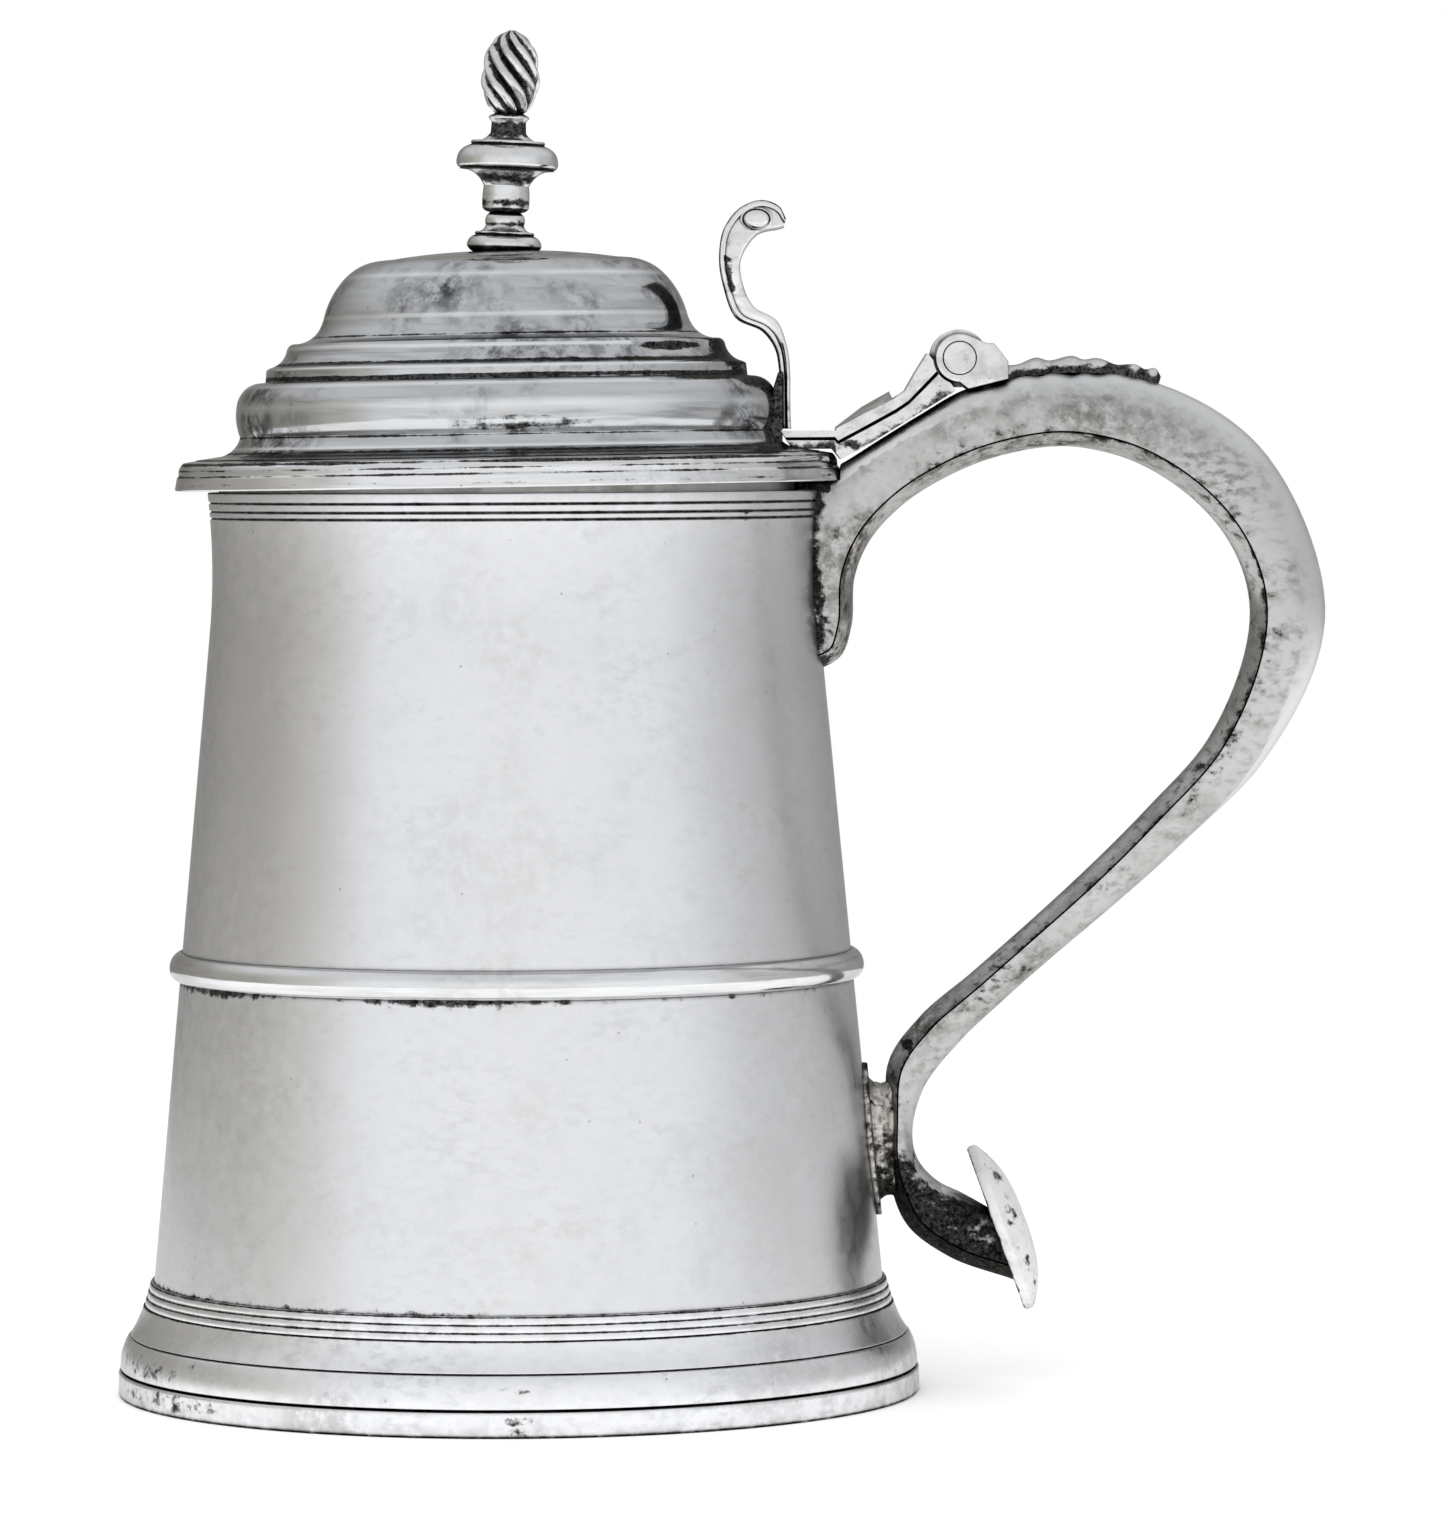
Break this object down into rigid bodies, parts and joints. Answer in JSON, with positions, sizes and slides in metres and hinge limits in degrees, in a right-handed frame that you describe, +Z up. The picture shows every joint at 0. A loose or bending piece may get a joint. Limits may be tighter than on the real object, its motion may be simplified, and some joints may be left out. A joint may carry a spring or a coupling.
{
  "type": "lidded tankard",
  "caption": "Lidded silver tankard with a tapering barrel on a moulded foot, a hollow scroll handle and a domed hinged lid raised by a thumbpiece.",
  "frame": {"origin": "on the table plane, under the middle of the overall width from the foot's edge to the handle's outermost point; the barrel's axis stands 33.4 mm from it towards -X", "axes": "+Z up along the barrel's axis, +X from the barrel towards the handle, +Y along the hinge pin, away from the side that the picture shows"},
  "size_m": [0.1978, 0.131, 0.2228],
  "materials": {
    "barrel": "satin-worn silver with fine scratches",
    "barrel_bottom": "silver with dark tarnish left in the hollows",
    "midband": "polished silver with fine wear scratches",
    "foot_reeding": "polished silver with fine wear scratches",
    "foot_moulding": "polished silver with fine wear scratches",
    "foot_rim": "polished silver with fine wear scratches",
    "handle_back": "satin-worn silver with fine scratches",
    "handle_inner_strip": "satin-worn silver with fine scratches",
    "handle_strut": "silver with dark tarnish left in the hollows",
    "strut_plate": "silver with dark tarnish left in the hollows",
    "handle_terminal": "satin-worn silver with fine scratches",
    "hinge_bracket": "polished silver with fine wear scratches",
    "hinge_drop": "silver with dark tarnish left in the hollows",
    "hinge_pin": "polished silver with fine wear scratches",
    "lid_cover": "satin-worn silver with fine scratches",
    "lid_rim": "polished silver with fine wear scratches",
    "lid_bezel": "satin-worn silver with fine scratches",
    "lid_hinge_plate": "polished silver with fine wear scratches",
    "thumbpiece": "polished silver with fine wear scratches",
    "finial_baluster": "satin-worn silver with fine scratches",
    "finial_flame": "silver with dark tarnish left in the hollows"
  },
  "bodies": {
    "vessel": {"barrel": "barrel", "barrel_bottom": "barrel_bottom", "midband": "midband", "foot_reeding": "foot_reeding", "foot_moulding": "foot_moulding", "foot_rim": "foot_rim", "handle_back": "handle_back", "handle_inner_strip": "handle_inner_strip", "handle_strut": "handle_strut", "strut_plate": "strut_plate", "handle_terminal": "handle_terminal", "hinge_bracket": "hinge_bracket", "hinge_drop": "hinge_drop", "hinge_pin": "hinge_pin"},
    "lid": {"lid_cover": "lid_cover", "lid_rim": "lid_rim", "lid_bezel": "lid_bezel", "lid_hinge_plate": "lid_hinge_plate", "thumbpiece": "thumbpiece", "finial_baluster": "finial_baluster", "finial_flame": "finial_flame"}
  },
  "joints": [
    {"name": "lid_hinge", "type": "hinge", "parent": "vessel", "child": "lid", "pos_m": [0.0391, 0, 0.1685], "axis": [0, 1, 0], "range_deg": [0, 120]}
  ]
}
